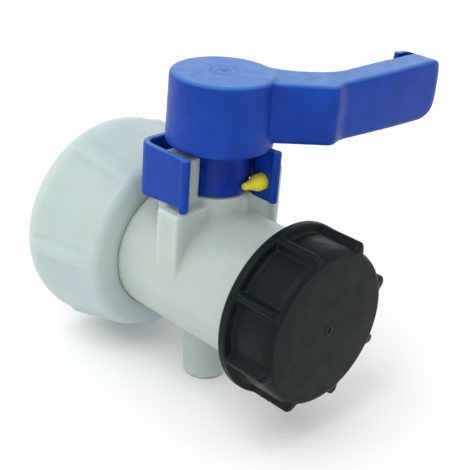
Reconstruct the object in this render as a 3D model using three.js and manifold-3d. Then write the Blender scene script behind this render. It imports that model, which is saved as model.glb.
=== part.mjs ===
// Outlet valve for a liquid container: a quarter-turn butterfly valve with a union nut on the
// inlet, a lever on top, a lock clip with a safety pin round its neck, and a screw cap.
// Millimetres. +X runs along the pipe to the outlet, +Z up the stem, and the origin is where
// the pipe's axis meets the plane of the inlet end.
import * as THREE from 'three';
import { mergeVertices } from 'three/addons/utils/BufferGeometryUtils.js';
import Module from 'manifold-3d';

const wasm = await Module();
wasm.setup();

// ---------------------------------------------------------------- clearances
const seat = 0.3;          // pieces that touch
const running = 0.5;       // pieces that turn or slide
const past = 1;            // how far a cutter runs past the face it opens
const fine = 40;           // segments on a large round
const coarse = 20;         // segments on a small round

// ---------------------------------------------------------------- driving sizes
// Pipe, along X. Heights below follow the barrel, and places along X follow the stem.
const stemX = 70.8;        // stem axis from the inlet end
const boreR = 24;
const barrelR = 29.1;
const bodyEndX = 133;      // outlet end of the body
const threadPitch = 6;     // both threads
const threadDepth = 1.8;
const threadLead = 4.2;    // from the cap's back edge to the first turn
const threadRunOut = 3;    // from the last turn to the body's end
const threadSink = 1;      // how far a ridge's root lies inside its wall

// Inlet: flange, gasket and union nut.
const inletFlangeR = barrelR + 7.9;
const inletFlangeThickness = 9.4;
const gasketThickness = 3;
const nutLength = 44;
const nutThreadR = inletFlangeR + 4;  // root of the nut's thread
const nutRims = [[0, 2.3], [2, 5], [8, 6.8], [16, 5.1], [24, 3], [32, 1.3], [41, -0.2]]
  .map(([x, rise]) => [x, nutThreadR + rise]);
const nutFrontWall = 6.6;
const nutRibCount = 6;
const nutRibWidth = 6.5;
const nutRibRise = 1.4;
const nutRibStart = 5;
const nutRibEnd = 36;

// Tower: web across the barrel, neck, C-shaped housing round the collar, ear and bearing boss.
const webFront = stemX + 8.2;
const webBack = stemX - 3.8;
const webTop = barrelR + 5;
const collarR = 13.4;
const neckR = collarR + 0.4;
const neckTop = webTop + 3.3;
const collarBottom = neckTop + 0.6;
const housingFront = stemX + 0.6;
const housingBack = stemX - 17.8;
const housingHalf = 22.5;
const jawFront = stemX + 4.2;   // front of the housing's left side
const bossR = 9.7;
const bossBottom = -barrelR - 22.9;

// Lock clip round the housing.
const clipThickness = 2.9;
const clipBend = 6;        // radius of the clip's middle line at its two back corners
const clipBottom = webTop + 0.4;
const clipTop = clipBottom + 22.7;
const clipLeftEnd = stemX + 6.4;
const clipRightEnd = stemX + 21.2;
const clipRightY = neckR - 3.05 + clipThickness / 2;  // middle of the stepped-in right end
const clipStepStart = housingFront + clipThickness / 2 + 0.15;
const clipStepEnd = stemX + 9.6;
const beadR = 2;
const beadOut = 0.6;       // how far the left bead stands past its arm's end
const housingTop = clipTop - 2.2;
const earTop = webTop + 9.9;

// Safety pin through the clip's right arm.
const pinX = stemX + 15.2;
const pinZ = clipBottom + 7.9;
const pinR = 3.7;
const pinTipR = 1.5;
const pinTipY = 0.2;
const pinFlangeThickness = 2.4;
const pinFlangeRise = 0.5;

// Handle: hub, lever block, grip and hook.
const hubR = 22.2;
const hubBottom = clipTop + 0.5;
const hubTop = hubBottom + 29.3;
const hubWall = 3;
const hubEdge = 1.6;
const leverBottom = hubBottom + 3.5;
const leverTop = hubTop - 1;
const leverAngle = THREE.MathUtils.degToRad(48);
const blockFront = -10.4;  // the lever block's two sides, measured across its own direction
const blockRear = 8.9;
const blockEnd = 44.6;
const bladeInner = stemX + 23.2;  // the grip's two faces along X
const bladeOuter = stemX + 32.8;
const bladeStartY = 36;
const bladeRearStartY = 44;
const bladeEndY = 93;
const hookReach = stemX + 17.2;
const hookWall = 4.6;
const hookLipR = 1.6;
const hookLipLength = 5;

// Stem, its seals and bushes, and the screw that holds the handle down on it.
const stemR = 6;
const stemBottom = bossBottom + 6.6;
const stemShoulder = hubBottom + 4.3;  // where the stem turns square
const stemTop = stemShoulder + 14;
const squareSide = 8.4;
const passageR = 7.7;
const ringSection = 1;     // o-ring section radius
const grooveR = 5;
const upperRingZ = barrelR - 2.3;
const lowerRingZ = 1.9 - barrelR;
const bushWall = 2;
const upperBush = [barrelR + 1.1, neckTop - 0.4];
const lowerBush = [stemBottom + 1.9, stemBottom + 14.4];
const washerThickness = 1;
const screwR = 2.5;
const screwDepth = 11;
const screwHeadR = 4.6;
const screwHeadHeight = 3;
const screwSocketR = 2.2;
const handleWasherR = 5.2;
const plugR = 5.6;
const plugThickness = 1.8;

// Butterfly disc and its seal.
const discR = boreR - 2;
const discThickness = 5;
const discHubR = 8.8;
const sealR = boreR - 0.4;
const sealWidth = 3;
const discPinR = 2;

// Outlet cap.
const capFront = bodyEndX + 5.2;
const capBack = bodyEndX - 19.2;
const capThreadR = barrelR + 1.3;  // root of the cap's thread
const capWallR = capThreadR + 3;
const capFlangeR = capWallR + 3.6;
const capEdgeR = capWallR - 1.4;
const capFlangeThickness = 3.6;
const capFaceThickness = 3;
const capCrown = 3.4;      // depth of the rounded edge
const capShoulder = 1;     // from the flange up to the wall
const capRibCount = 8;
const capRibPhase = THREE.MathUtils.degToRad(17);
const capRibWidth = 4.6;

// ---------------------------------------------------------------- solids
// Merge the vertices, drop flat triangles and turn the faces outwards.
function solid(geometry) {
  const plain = geometry.clone();
  for (const name of Object.keys(plain.attributes)) {
    if (name !== 'position') plain.deleteAttribute(name);
  }
  const merged = mergeVertices(plain, 1e-4);
  const position = merged.attributes.position;
  const index = [];
  for (let i = 0; i < merged.index.count; i += 3) {
    const [a, b, c] = [0, 1, 2].map((k) => merged.index.getX(i + k));
    if (a !== b && b !== c && c !== a) index.push(a, b, c);
  }
  const corner = [new THREE.Vector3(), new THREE.Vector3(), new THREE.Vector3()];
  let volume = 0;
  for (let i = 0; i < index.length; i += 3) {
    corner.forEach((v, k) => v.fromBufferAttribute(position, index[i + k]));
    volume += corner[0].dot(corner[1].clone().cross(corner[2]));
  }
  if (volume < 0) index.reverse();
  const mesh = new wasm.Mesh({
    numProp: 3,
    vertProperties: new Float32Array(position.array),
    triVerts: new Uint32Array(index),
  });
  return new wasm.Manifold(mesh);
}

// A closed profile of [along, radius] points turned about the X axis.
function turnedX(profile, segments = fine) {
  const points = profile.map(([along, radius]) => new THREE.Vector2(radius, along));
  points.push(points[0].clone());
  const lathe = new THREE.LatheGeometry(points, segments);
  return solid(lathe.rotateZ(-Math.PI / 2));
}

// The same about a vertical axis that stands at x, y.
function turnedZ(profile, segments = fine, x = stemX, y = 0) {
  const points = profile.map(([along, radius]) => new THREE.Vector2(radius, along));
  points.push(points[0].clone());
  const lathe = new THREE.LatheGeometry(points, segments);
  return solid(lathe.rotateX(Math.PI / 2).translate(x, y, 0));
}

function post(radius, z0, z1, segments = coarse, x = stemX, y = 0) {
  return turnedZ([[z0, 0], [z0, radius], [z1, radius], [z1, 0]], segments, x, y);
}

function tubeZ(inner, outer, z0, z1, segments = coarse) {
  return turnedZ([[z0, inner], [z0, outer], [z1, outer], [z1, inner]], segments);
}

function tubeX(inner, outer, x0, x1, segments = fine) {
  return turnedX([[x0, inner], [x0, outer], [x1, outer], [x1, inner]], segments);
}

function rodX(radius, x0, x1, segments = fine) {
  return turnedX([[x0, 0], [x0, radius], [x1, radius], [x1, 0]], segments);
}

function box(x0, x1, y0, y1, z0, z1) {
  const block = new THREE.BoxGeometry(x1 - x0, y1 - y0, z1 - z0);
  return solid(block.translate((x0 + x1) / 2, (y0 + y1) / 2, (z0 + z1) / 2));
}

// A plan outline raised from z0 to z1.
function raised(shape, z0, z1, curveSegments = 10) {
  const settings = { depth: z1 - z0, bevelEnabled: false, curveSegments };
  return solid(new THREE.ExtrudeGeometry(shape, settings).translate(0, 0, z0));
}

// A thread ridge about the X axis: a tapered section swept along a helix. The crest may lie
// inside the root (a female thread) or outside it (a male thread).
function threadRidge(rootR, crestR, x0, x1, steps = 20) {
  const turns = (x1 - x0) / threadPitch;
  const count = Math.round(turns * steps);
  const rootHalf = 1.5;
  const crestHalf = 0.8;
  const section = [[-rootHalf, rootR], [-crestHalf, crestR], [crestHalf, crestR], [rootHalf, rootR]];
  const vertices = [];
  const index = [];
  for (let i = 0; i <= count; i += 1) {
    const turn = (i / count) * turns;
    const angle = turn * 2 * Math.PI;
    for (const [offset, radius] of section) {
      vertices.push(x0 + turn * threadPitch + offset, radius * Math.cos(angle), radius * Math.sin(angle));
    }
    if (i === 0) continue;
    for (let k = 0; k < 4; k += 1) {
      const a = (i - 1) * 4 + k;
      const b = (i - 1) * 4 + ((k + 1) % 4);
      index.push(a, b, a + 4, b, b + 4, a + 4);
    }
  }
  const last = count * 4;
  index.push(0, 2, 1, 0, 3, 2, last, last + 1, last + 2, last, last + 2, last + 3);
  const ridge = new THREE.BufferGeometry();
  ridge.setAttribute('position', new THREE.Float32BufferAttribute(vertices, 3));
  ridge.setIndex(index);
  return solid(ridge);
}

// ---------------------------------------------------------------- group and materials
const group = new THREE.Group();

const plastics = {
  natural: { color: 0xc3d0cd, roughness: 0.45, metalness: 0 },
  blue: { color: 0x2144a0, roughness: 0.4, metalness: 0 },
  darkBlue: { color: 0x14286e, roughness: 0.45, metalness: 0 },
  black: { color: 0x2d3438, roughness: 0.5, metalness: 0 },
  yellow: { color: 0xbeb932, roughness: 0.5, metalness: 0 },
  rubber: { color: 0x1b1c1e, roughness: 0.8, metalness: 0 },
  bearing: { color: 0xe4e2da, roughness: 0.5, metalness: 0 },
  nylon: { color: 0x3a3d40, roughness: 0.55, metalness: 0 },
  steel: { color: 0xb9bcc0, roughness: 0.3, metalness: 1 },
};

function add(name, body, plastic) {
  const { vertProperties, triVerts } = body.getMesh();
  const geometry = new THREE.BufferGeometry();
  geometry.setAttribute('position', new THREE.BufferAttribute(new Float32Array(vertProperties), 3));
  geometry.setIndex(new THREE.BufferAttribute(new Uint32Array(triVerts), 1));
  geometry.computeVertexNormals();
  const mesh = new THREE.Mesh(geometry, new THREE.MeshStandardMaterial(plastics[plastic]));
  mesh.name = name;
  group.add(mesh);
}

// ---------------------------------------------------------------- valve body
const inletFaceX = nutLength - nutFrontWall - seat - inletFlangeThickness;
const threadRootR = barrelR - 1.3;
const threadStartX = capBack + threadLead;
const threadEndX = bodyEndX - threadRunOut;
const clipArmY = housingHalf + 2 * seat + clipThickness / 2;
const clipBackX = housingBack - 2 * seat - clipThickness / 2;
const earFront = pinX - pinR - pinFlangeRise - running;

function valveBody() {
  const flangeEnd = inletFaceX + inletFlangeThickness;
  let body = turnedX([
    [inletFaceX, 0], [inletFaceX, inletFlangeR], [flangeEnd, inletFlangeR], [flangeEnd, barrelR],
    [capBack - 1.4, barrelR], [capBack, threadRootR], [bodyEndX, threadRootR], [bodyEndX, 0],
  ]);
  const crestR = threadRootR + threadDepth;
  body = body.add(threadRidge(threadRootR - threadSink, crestR, threadStartX, threadEndX));
  body = body.add(post(neckR, 0, neckTop, fine));
  body = body.add(post(bossR, bossBottom, 0, fine));
  body = body.add(box(webBack, webFront, -barrelR, barrelR, 0, webTop));
  const earInner = clipArmY + clipThickness / 2 + seat;
  body = body.add(box(webBack, earFront, earInner, barrelR, 0, earTop));
  body = body.add(housing());
  body = body.add(box(stemX, jawFront, -housingHalf, -collarR, 0, housingTop));
  const collarBore = post(collarR + running, neckTop, housingTop + past, fine);
  const mouthHalf = collarR + running;
  const collarMouth = box(stemX, webFront, -mouthHalf, mouthHalf, neckTop, housingTop + past);
  body = body.subtract(collarBore).subtract(collarMouth);
  body = body.subtract(rodX(boreR, inletFaceX - past, bodyEndX + past));
  body = body.subtract(post(passageR, stemBottom - washerThickness - 2 * seat, neckTop + past));
  return body.subtract(post(stemR + bushWall + 2 * seat, upperBush[0] - seat, neckTop + past));
}

// The housing's back corners follow the inside of the clip's bends.
function housing() {
  const corner = clipBend - clipThickness / 2 - 2 * seat;
  const outline = new THREE.Shape();
  outline.moveTo(housingFront, -housingHalf);
  outline.lineTo(housingFront, housingHalf);
  outline.lineTo(housingBack + corner, housingHalf);
  outline.absarc(housingBack + corner, housingHalf - corner, corner, Math.PI / 2, Math.PI, false);
  outline.absarc(housingBack + corner, corner - housingHalf, corner, Math.PI, 1.5 * Math.PI, false);
  return raised(outline, 0, housingTop, 6);
}

// ---------------------------------------------------------------- inlet
const nutBoreEnd = nutLength - nutFrontWall;
const nutBoreR = inletFlangeR + running;
const nutFrontHoleR = barrelR + running;
const nutThreadEnd = inletFaceX - 4;

// The ribs follow the nut's rims, a little proud of them, and end inside its wall.
function nutRib(angle) {
  const wall = 2;
  const crest = nutRims
    .filter(([x]) => x > nutRibStart && x < nutRibEnd)
    .map(([x, r]) => new THREE.Vector2(x, r + nutRibRise));
  const side = new THREE.Shape([
    new THREE.Vector2(nutRibStart, nutThreadR + wall),
    ...crest,
    new THREE.Vector2(nutRibEnd, nutBoreR + wall),
    new THREE.Vector2(nutThreadEnd + wall, nutBoreR + wall),
    new THREE.Vector2(nutThreadEnd, nutThreadR + wall),
  ]);
  const settings = { depth: nutRibWidth, bevelEnabled: false };
  const rib = new THREE.ExtrudeGeometry(side, settings).translate(0, 0, -nutRibWidth / 2);
  return solid(rib.rotateX(angle));
}

function unionNut() {
  const chamfer = 1.4;
  let nut = turnedX([
    ...nutRims, [nutLength - 1, nutBoreR + 2], [nutLength, nutBoreR + 0.5],
    [nutLength, nutFrontHoleR], [nutBoreEnd, nutFrontHoleR], [nutBoreEnd, nutBoreR],
    [nutThreadEnd + 2, nutBoreR], [nutThreadEnd, nutThreadR], [chamfer, nutThreadR],
    [0, nutThreadR + chamfer],
  ]);
  for (let i = 0; i < nutRibCount; i += 1) {
    nut = nut.add(nutRib((i * 2 * Math.PI) / nutRibCount));
  }
  const crestR = nutThreadR - threadDepth;
  return nut.add(threadRidge(nutThreadR + threadSink, crestR, 4, nutThreadEnd - 2));
}

function inletGasket() {
  const x0 = inletFaceX - seat - gasketThickness;
  return tubeX(boreR + 2, inletFlangeR - 0.8, x0, inletFaceX - seat);
}

// ---------------------------------------------------------------- disc and stem
function ball(radius) {
  return solid(new THREE.SphereGeometry(radius, fine, coarse).translate(stemX, 0, 0));
}

function discPin() {
  const half = discHubR - 0.4;
  return rodX(discPinR, stemX - half, stemX + half, 20);
}

function butterflyDisc() {
  const plate = rodX(discR, stemX - discThickness / 2, stemX + discThickness / 2);
  const hub = post(discHubR, -discR, discR, fine).intersect(ball(discR));
  return plate.add(hub)
    .subtract(post(stemR + seat, -boreR, boreR))
    .subtract(rodX(discPinR + seat, stemX - discHubR - past, stemX + discHubR + past, 20));
}

function discSeal() {
  const shell = ball(sealR).subtract(ball(discR + seat));
  const ring = rodX(boreR, stemX - sealWidth / 2, stemX + sealWidth / 2);
  const eyelets = post(discHubR, -boreR, boreR);
  return ring.add(eyelets).intersect(shell).subtract(post(stemR + seat, -boreR, boreR));
}

function stemSquare(side, z0, z1) {
  return box(stemX - side / 2, stemX + side / 2, -side / 2, side / 2, z0, z1);
}

function stem() {
  const groove = ringSection + running;
  const shaft = turnedZ([
    [stemBottom, 0], [stemBottom, stemR],
    [lowerRingZ - groove, stemR], [lowerRingZ - groove, grooveR],
    [lowerRingZ + groove, grooveR], [lowerRingZ + groove, stemR],
    [upperRingZ - groove, stemR], [upperRingZ - groove, grooveR],
    [upperRingZ + groove, grooveR], [upperRingZ + groove, stemR],
    [stemShoulder, stemR], [stemShoulder, 0],
  ], coarse);
  return shaft.add(stemSquare(squareSide, stemShoulder - past, stemTop))
    .subtract(post(screwR + seat, stemTop - screwDepth - past, stemTop + past, 20))
    .subtract(rodX(discPinR + seat, stemX - stemR - past, stemX + stemR + past, 20));
}

function thrustWasher() {
  const top = stemBottom - seat;
  return post(passageR - seat, top - washerThickness, top);
}

function oRing(z) {
  const ring = new THREE.TorusGeometry((grooveR + passageR) / 2, ringSection, 8, coarse);
  return solid(ring.translate(stemX, 0, z));
}

// ---------------------------------------------------------------- handle
const socketFloor = stemTop + running + seat;
const headTop = socketFloor + washerThickness + 2 * seat + screwHeadHeight;

// The block's corners are set in its own direction: along the lever and across it.
function blockPoint(along, across) {
  const c = Math.cos(leverAngle);
  const s = Math.sin(leverAngle);
  return new THREE.Vector2(stemX + along * c - across * s, along * s + across * c);
}

// The block leaves the hub, the grip leaves the block's end, and the grip's tip hooks back.
function leverOutline() {
  const inHub = hubR / 2;
  const blockCornerR = 4;
  const bow = 0.6;
  const start = blockPoint(inHub, blockFront);
  const frontCorner = blockPoint(blockEnd - blockCornerR, blockFront);
  const frontControl = blockPoint(blockEnd, blockFront);
  const frontEnd = blockPoint(blockEnd, blockFront + blockCornerR);
  const shape = new THREE.Shape();
  shape.moveTo(start.x, start.y);
  shape.lineTo(frontCorner.x, frontCorner.y);
  shape.quadraticCurveTo(frontControl.x, frontControl.y, frontEnd.x, frontEnd.y);
  shape.lineTo(bladeOuter - 1, bladeStartY);
  shape.quadraticCurveTo(bladeOuter + bow, (bladeStartY + bladeEndY) / 2, bladeOuter, bladeEndY);

  const tipR = (bladeOuter - hookReach) / 2;
  const insideR = tipR - hookWall;
  const lipY = bladeEndY - hookLipLength;
  shape.absarc(bladeOuter - tipR, bladeEndY, tipR, 0, Math.PI, false);
  shape.lineTo(hookReach, lipY);
  shape.absarc(hookReach + hookLipR, lipY, hookLipR, Math.PI, 2 * Math.PI, false);
  shape.absarc(bladeOuter - tipR, bladeEndY - 1, insideR, Math.PI, Math.PI / 2, true);
  shape.quadraticCurveTo(bladeInner + bow, bladeEndY + insideR - 1, bladeInner + bow, bladeEndY - 8);

  const rearEnd = blockPoint(blockEnd - 1, blockRear);
  const rearStart = blockPoint(inHub, blockRear);
  shape.lineTo(bladeInner, bladeRearStartY);
  shape.lineTo(rearEnd.x, rearEnd.y);
  shape.lineTo(rearStart.x, rearStart.y);
  return shape;
}

function handle() {
  const hub = turnedZ([[hubBottom, 0], [hubBottom, hubR], [hubTop - hubEdge, hubR],
    [hubTop - hubEdge / 3, hubR - hubEdge / 3], [hubTop, hubR - hubEdge], [hubTop, 0]]);
  const lever = raised(leverOutline(), leverBottom, leverTop);
  const hollowTop = hubTop - hubWall - hubEdge;
  const hollow = tubeZ(collarR + hubWall, hubR - hubWall, hubBottom - past, hollowTop, fine);
  const collarSeat = post(collarR + seat, hubBottom - past, stemShoulder + seat, fine);
  const headBore = post(handleWasherR + seat, socketFloor, hubTop - plugThickness - seat, 24);
  const plugSeat = post(plugR + seat, hubTop - plugThickness - seat, hubTop + past, 24);
  return hub.add(lever)
    .subtract(hollow)
    .subtract(collarSeat)
    .subtract(stemSquare(squareSide + 2 * seat, stemShoulder - past, socketFloor + past))
    .subtract(headBore)
    .subtract(plugSeat);
}

function handleCollar() {
  return tubeZ(stemR + seat, collarR, collarBottom, stemShoulder, fine);
}

function handleWasher() {
  const z0 = socketFloor + seat;
  return tubeZ(screwR + seat, handleWasherR, z0, z0 + washerThickness, 24);
}

function handleScrew() {
  const underHead = socketFloor + washerThickness + 2 * seat;
  const socket = new THREE.CylinderGeometry(screwSocketR, screwSocketR, screwHeadHeight, 6);
  socket.rotateX(Math.PI / 2).translate(stemX, 0, headTop + seat);
  return turnedZ([[stemTop - screwDepth, 0], [stemTop - screwDepth, screwR], [underHead, screwR],
    [underHead, screwHeadR], [headTop, screwHeadR], [headTop, 0]], 24)
    .subtract(solid(socket));
}

function hubPlug() {
  return post(plugR, hubTop - plugThickness, hubTop, 24);
}

// ---------------------------------------------------------------- lock clip and safety pin
// A strip laid along a middle line, with mitred bends.
function strip(path, half) {
  const apart = (point, i, all) => i === 0 || point.distanceTo(all[i - 1]) > seat / 10;
  const middle = path.getPoints(4).filter(apart);
  const headings = middle.slice(1).map((point, i) => point.clone().sub(middle[i]).normalize());
  const side = (sign) => middle.map((point, i) => {
    const behind = headings[Math.max(i - 1, 0)];
    const ahead = headings[Math.min(i, headings.length - 1)];
    const along = behind.clone().add(ahead).normalize();
    const reach = (sign * half) / along.dot(ahead);
    return new THREE.Vector2(point.x - along.y * reach, point.y + along.x * reach);
  });
  return new THREE.Shape([...side(1), ...side(-1).reverse()]);
}

// From the left arm's end round the two back bends to the stepped-in right end.
function clipOutline() {
  const path = new THREE.Path();
  const inset = clipArmY - clipBend;
  path.moveTo(clipLeftEnd, -clipArmY);
  path.lineTo(clipBackX + clipBend, -clipArmY);
  path.absarc(clipBackX + clipBend, -inset, clipBend, 1.5 * Math.PI, Math.PI, true);
  path.absarc(clipBackX + clipBend, inset, clipBend, Math.PI, Math.PI / 2, true);
  path.lineTo(clipStepStart, clipArmY);
  path.lineTo(clipStepEnd, clipRightY);
  path.lineTo(clipRightEnd, clipRightY);
  return strip(path, clipThickness / 2);
}

function lockClip() {
  const leftBead = post(beadR, clipBottom, clipTop, 20, clipLeftEnd + beadOut, -clipArmY);
  const rightBead = post(beadR, clipBottom, clipTop, 20, clipRightEnd, clipRightY);
  const pinHole = new THREE.CylinderGeometry(pinR + seat, pinR + seat, 4 * clipThickness, 24);
  return raised(clipOutline(), clipBottom, clipTop)
    .add(leftBead)
    .add(rightBead)
    .subtract(solid(pinHole.translate(pinX, clipRightY, pinZ)));
}

// Turned about Y: a flange outside the arm, a straight shank in it and a stepped cone inside.
function safetyPin() {
  const outside = clipRightY + clipThickness / 2 + seat;
  const inside = clipRightY - clipThickness / 2;
  const tipStep = 0.7;
  const profile = [
    [outside + pinFlangeThickness, 0], [outside + pinFlangeThickness, pinR + pinFlangeRise],
    [outside, pinR + pinFlangeRise], [outside, pinR],
    [inside - 2.6, pinR], [inside - 4.4, pinR - 1], [inside - 6, pinTipR + 0.3],
    [pinTipY + tipStep, pinTipR], [pinTipY, pinTipR - tipStep], [pinTipY, 0],
  ];
  const points = profile.map(([y, radius]) => new THREE.Vector2(radius, y));
  points.push(points[0].clone());
  return solid(new THREE.LatheGeometry(points, 24).translate(pinX, 0, pinZ));
}

// ---------------------------------------------------------------- cap
const capFlangeEnd = capBack + capFlangeThickness;

function capRib(angle) {
  const length = capFront - capFaceThickness - capFlangeEnd;
  const innerR = capThreadR + 1;
  const outerR = capFlangeR - 0.5;
  const side = new THREE.Shape();
  side.moveTo(0, innerR);
  side.lineTo(0, outerR);
  side.lineTo(length - 5, outerR);
  side.quadraticCurveTo(length, outerR, length, capWallR - 1);
  side.lineTo(length, innerR);
  const settings = { depth: capRibWidth, bevelEnabled: false, curveSegments: 5 };
  const rib = new THREE.ExtrudeGeometry(side, settings);
  return solid(rib.translate(capFlangeEnd - past, 0, -capRibWidth / 2).rotateX(angle));
}

function outletCap() {
  const edge = 0.6;
  const faceInside = capFront - capFaceThickness;
  let cap = turnedX([
    [capBack, capThreadR + edge], [capBack, capFlangeR - edge], [capBack + edge, capFlangeR],
    [capFlangeEnd, capFlangeR], [capFlangeEnd + capShoulder, capWallR],
    [capFront - capCrown, capWallR - edge / 2], [capFront - edge, capEdgeR - edge],
    [capFront, capEdgeR - 4 * edge], [capFront, 0],
    [faceInside, 0], [faceInside, capThreadR], [capBack + edge, capThreadR],
  ]);
  for (let i = 0; i < capRibCount; i += 1) {
    cap = cap.add(capRib(capRibPhase + (i * 2 * Math.PI) / capRibCount));
  }
  const crestR = capThreadR - threadDepth;
  return cap.add(threadRidge(capThreadR + threadSink, crestR, threadStartX + threadPitch / 2,
    threadEndX - threadPitch / 2));
}

function capGasket() {
  const x0 = bodyEndX + seat;
  return tubeX(boreR - 2, capThreadR - running, x0, capFront - capFaceThickness - seat);
}

// ---------------------------------------------------------------- assembly
add('valve_body', valveBody(), 'natural');
add('union_nut', unionNut(), 'natural');
add('inlet_gasket', inletGasket(), 'rubber');
add('butterfly_disc', butterflyDisc(), 'natural');
add('disc_seal', discSeal(), 'rubber');
add('disc_pin', discPin(), 'steel');
add('stem', stem(), 'nylon');
add('stem_o_ring_upper', oRing(upperRingZ), 'rubber');
add('stem_o_ring_lower', oRing(lowerRingZ), 'rubber');
add('stem_bush_upper', tubeZ(stemR + seat, stemR + bushWall, ...upperBush), 'bearing');
add('stem_bush_lower', tubeZ(stemR + seat, passageR - seat, ...lowerBush), 'bearing');
add('thrust_washer', thrustWasher(), 'bearing');
add('handle', handle(), 'blue');
add('handle_collar', handleCollar(), 'darkBlue');
add('handle_washer', handleWasher(), 'steel');
add('handle_screw', handleScrew(), 'steel');
add('hub_plug', hubPlug(), 'blue');
add('lock_clip', lockClip(), 'blue');
add('safety_pin', safetyPin(), 'yellow');
add('outlet_cap', outletCap(), 'black');
add('cap_gasket', capGasket(), 'rubber');

export default group;
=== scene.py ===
"""Outlet valve for a liquid container: the moulded shells, their finishes and the studio.

Every new piece is a surface worked out with numpy: a profile turned about an axis, or an
outline carried along a path. Shapes are written in millimetres and stored in metres.
"""

import math

import bmesh
import bpy
import numpy as np
from bpy.props import (
    BoolProperty,
    FloatProperty,
    FloatVectorProperty,
    IntProperty,
    PointerProperty,
)
from bpy.types import Operator, Panel, PropertyGroup
from mathutils import Matrix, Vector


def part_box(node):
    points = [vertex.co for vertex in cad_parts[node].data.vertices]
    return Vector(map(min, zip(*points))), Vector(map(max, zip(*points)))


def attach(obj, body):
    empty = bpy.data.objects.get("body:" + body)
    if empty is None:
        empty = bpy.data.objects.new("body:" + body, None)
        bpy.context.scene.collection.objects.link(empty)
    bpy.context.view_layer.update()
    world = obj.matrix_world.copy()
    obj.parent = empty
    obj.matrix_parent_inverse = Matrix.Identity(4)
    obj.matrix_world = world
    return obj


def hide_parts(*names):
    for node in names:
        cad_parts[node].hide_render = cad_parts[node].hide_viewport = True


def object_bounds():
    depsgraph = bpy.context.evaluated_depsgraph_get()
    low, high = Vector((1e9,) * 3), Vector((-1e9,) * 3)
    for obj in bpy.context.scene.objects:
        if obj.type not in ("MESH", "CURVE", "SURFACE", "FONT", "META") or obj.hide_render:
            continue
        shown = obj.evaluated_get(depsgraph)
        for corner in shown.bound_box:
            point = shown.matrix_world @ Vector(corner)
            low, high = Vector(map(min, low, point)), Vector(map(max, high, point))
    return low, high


bl_info = {
    "name": "Outlet Valve",
    "version": (1, 0, 0),
    "blender": (4, 5, 0),
    "location": "View3D > Sidebar > Valve",
    "description": "Builds the moulded pieces of a container's outlet valve",
    "category": "Object",
}

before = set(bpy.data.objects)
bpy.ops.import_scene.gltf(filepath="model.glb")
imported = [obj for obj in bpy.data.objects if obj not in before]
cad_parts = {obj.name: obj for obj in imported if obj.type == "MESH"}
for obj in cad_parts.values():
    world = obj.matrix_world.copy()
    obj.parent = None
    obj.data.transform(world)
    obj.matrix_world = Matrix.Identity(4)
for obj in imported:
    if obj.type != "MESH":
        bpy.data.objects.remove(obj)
CAD_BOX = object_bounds()

MM = 0.001
X_AXIS, Y_AXIS, Z_AXIS = 0, 1, 2
SEAT = 0.3  # clearance between pieces that touch, as in the frame
RUNNING = 0.5  # clearance between pieces that turn


# ------------------------------------------------------------------ places from the frame
def corners_of(node):
    """Lowest and highest corner of a CAD node in millimetres."""
    low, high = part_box(node)
    return np.array(low) / MM, np.array(high) / MM


BODY_LOW, BODY_HIGH = corners_of("valve_body")
NUT_HIGH = corners_of("union_nut")[1]
HANDLE_LOW, HANDLE_HIGH = corners_of("handle")
COLLAR_LOW, COLLAR_HIGH = corners_of("handle_collar")
CLIP_LOW, CLIP_HIGH = corners_of("lock_clip")
PIN_LOW, PIN_HIGH = corners_of("safety_pin")
CAP_LOW, CAP_HIGH = corners_of("outlet_cap")
PLUG_LOW, PLUG_HIGH = corners_of("hub_plug")
DISC_LOW, DISC_HIGH = corners_of("butterfly_disc")
BUSH_LOW, BUSH_HIGH = corners_of("stem_bush_upper")
THRUST_LOW, THRUST_HIGH = corners_of("thrust_washer")

STEM_X = (COLLAR_LOW[0] + COLLAR_HIGH[0]) / 2
COLLAR_R = (COLLAR_HIGH[0] - COLLAR_LOW[0]) / 2
HUB_R = STEM_X - HANDLE_LOW[0]
FLANGE_R = BODY_HIGH[1]
PASSAGE_R = (THRUST_HIGH[0] - THRUST_LOW[0]) / 2 + SEAT
DISC_R = DISC_HIGH[1]
PIN_FLANGE = 2.4  # thickness of the safety pin's flange
PIN_SHANK = 0.5  # step from the pin's flange down to its shank
INLET_FLANGE = 9.4  # thickness of the inlet flange

# The tower on the body.
HOUSING_FRONT = STEM_X + 0.6
HOUSING_BACK = STEM_X - 17.8
JAW_FRONT = STEM_X + 4.2  # front of the housing's left side
WEB_FRONT = STEM_X + 8.2
WEB_BACK = STEM_X - 3.8
WEB_TOP = CLIP_LOW[2] - 0.4
EAR_TOP = WEB_TOP + 9.9
NECK_TOP = COLLAR_LOW[2] - 0.6

# The lever on the handle.
LEVER_BOTTOM = 61.2
LEVER_TOP = HANDLE_HIGH[2] - 1
BLOCK_FRONT, BLOCK_REAR = -10.4, 8.9  # the block's two sides, measured across its own direction
GRIP_INNER = 94.0  # inner face of the grip
HOOK_INNER = 88.0  # the hook's far side
HOOK_START = 86.6  # where the hook's point lies along Y


# ------------------------------------------------------------------ profiles
def rounded(corners, radii, steps=6):
    """Softened outline. Each corner C gives way to the curve A(1-t)^2 + 2Ct(1-t) + Bt^2, where A and B
    lie a radius away on its two sides. Further columns, such as weights, follow along."""
    points = np.array(corners, float)
    reach = np.broadcast_to(np.array(radii, float), len(points))[:, None]
    back = np.roll(points, 1, 0) - points
    ahead = np.roll(points, -1, 0) - points
    back_length = np.linalg.norm(back[:, :2], axis=1, keepdims=True)
    ahead_length = np.linalg.norm(ahead[:, :2], axis=1, keepdims=True)
    reach = np.minimum(reach, 0.48 * np.minimum(back_length, ahead_length))
    start = points + back / back_length * reach
    end = points + ahead / ahead_length * reach
    t = np.linspace(0, 1, steps)[None, :, None]
    curve = start[:, None] * (1 - t) ** 2 + 2 * points[:, None] * t * (1 - t) + end[:, None] * t**2
    return curve.reshape(-1, points.shape[1])


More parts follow.
